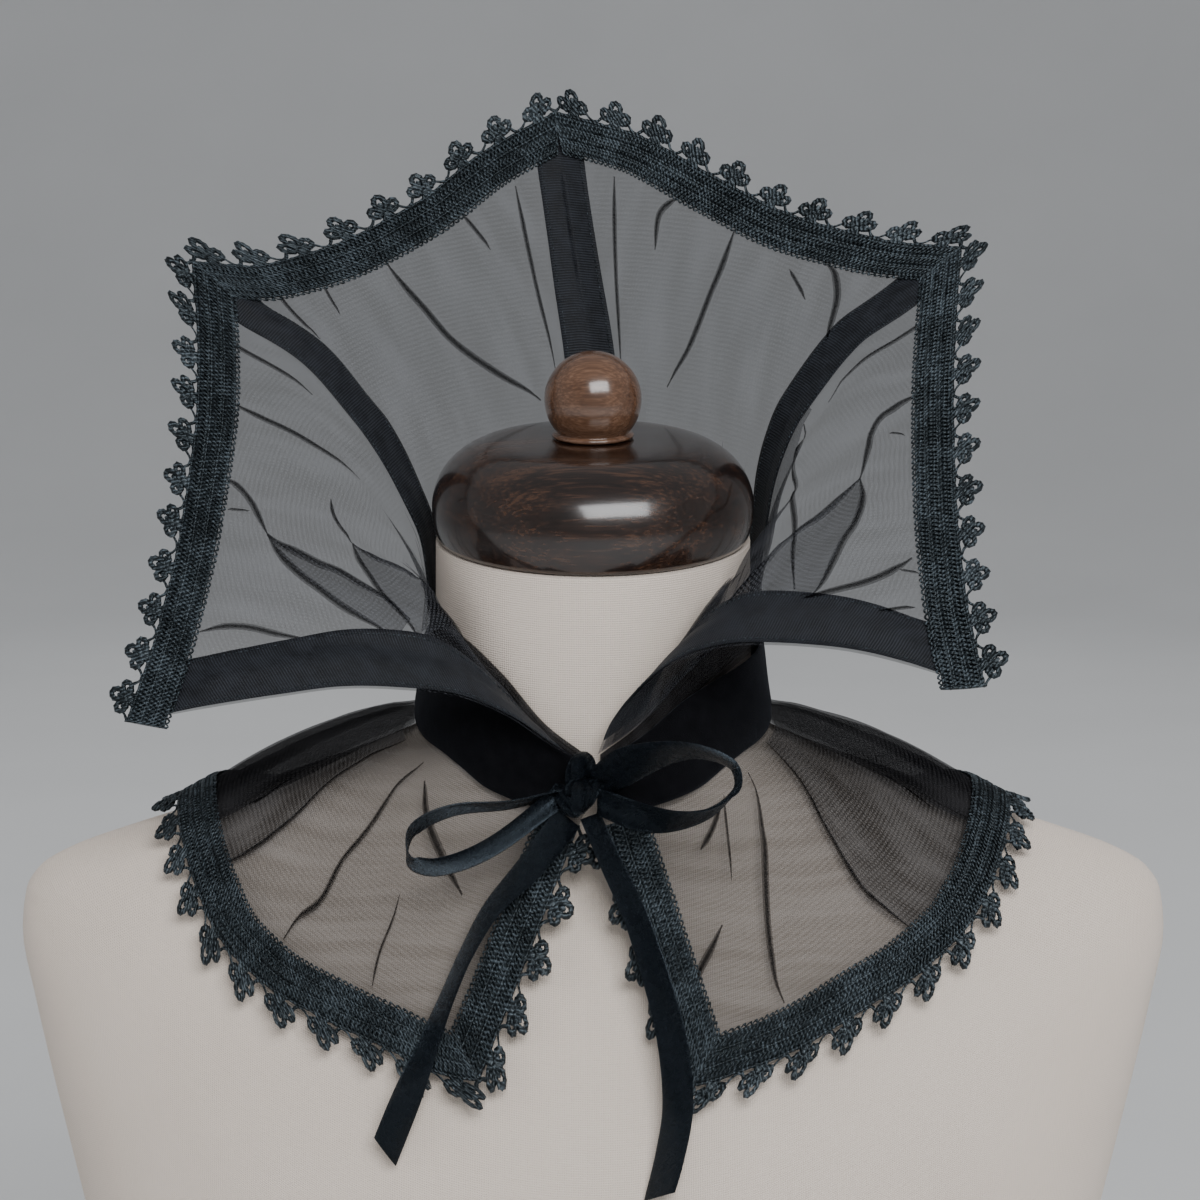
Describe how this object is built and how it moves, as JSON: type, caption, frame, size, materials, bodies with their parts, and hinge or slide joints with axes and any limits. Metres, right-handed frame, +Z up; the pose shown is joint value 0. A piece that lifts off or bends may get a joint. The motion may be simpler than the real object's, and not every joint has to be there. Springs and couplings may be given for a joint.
{
  "type": "detachable collar on dress form",
  "caption": "Sheer standing collar with ribbon bones, lace edging, velvet neck band, short cape and tied bow, resting on a limbless dress form with a wooden neck cap.",
  "frame": {"origin": "centre of the dress form's flat base, on the surface it stands on", "axes": "+Z up, -Y the way the form's front faces, +X to the right of someone facing it"},
  "size_m": [0.399, 0.2116, 0.5933],
  "materials": {
    "black_organza": "sheer woven",
    "bone_ribbon": "ribbed ribbon",
    "black_lace": "lace",
    "neck_velvet": "velvet",
    "bow_satin": "satin",
    "form_linen": "plain woven linen",
    "cap_wood": "varnished",
    "knob_wood": "varnished"
  },
  "bodies": {
    "root": {"organza_side_left": "black_organza", "organza_back_left": "black_organza", "organza_back_right": "black_organza", "organza_side_right": "black_organza", "neck_facing": "black_organza", "cape": "black_organza", "neck_band": "neck_velvet", "bone_front_left": "bone_ribbon", "bone_back_left": "bone_ribbon", "bone_back": "bone_ribbon", "bone_back_right": "bone_ribbon", "bone_front_right": "bone_ribbon", "lace_side_left": "black_lace", "lace_top_left": "black_lace", "lace_top_right": "black_lace", "lace_side_right": "black_lace", "lace_cape_front_left": "black_lace", "lace_cape_hem": "black_lace", "lace_cape_front_right": "black_lace", "bow_knot": "bow_satin", "bow_loop_left": "bow_satin", "bow_loop_right": "bow_satin", "bow_tail_left": "bow_satin", "bow_tail_right": "bow_satin", "form_body": "form_linen", "neck_cap": "cap_wood", "cap_knob": "knob_wood"}
  },
  "joints": []
}
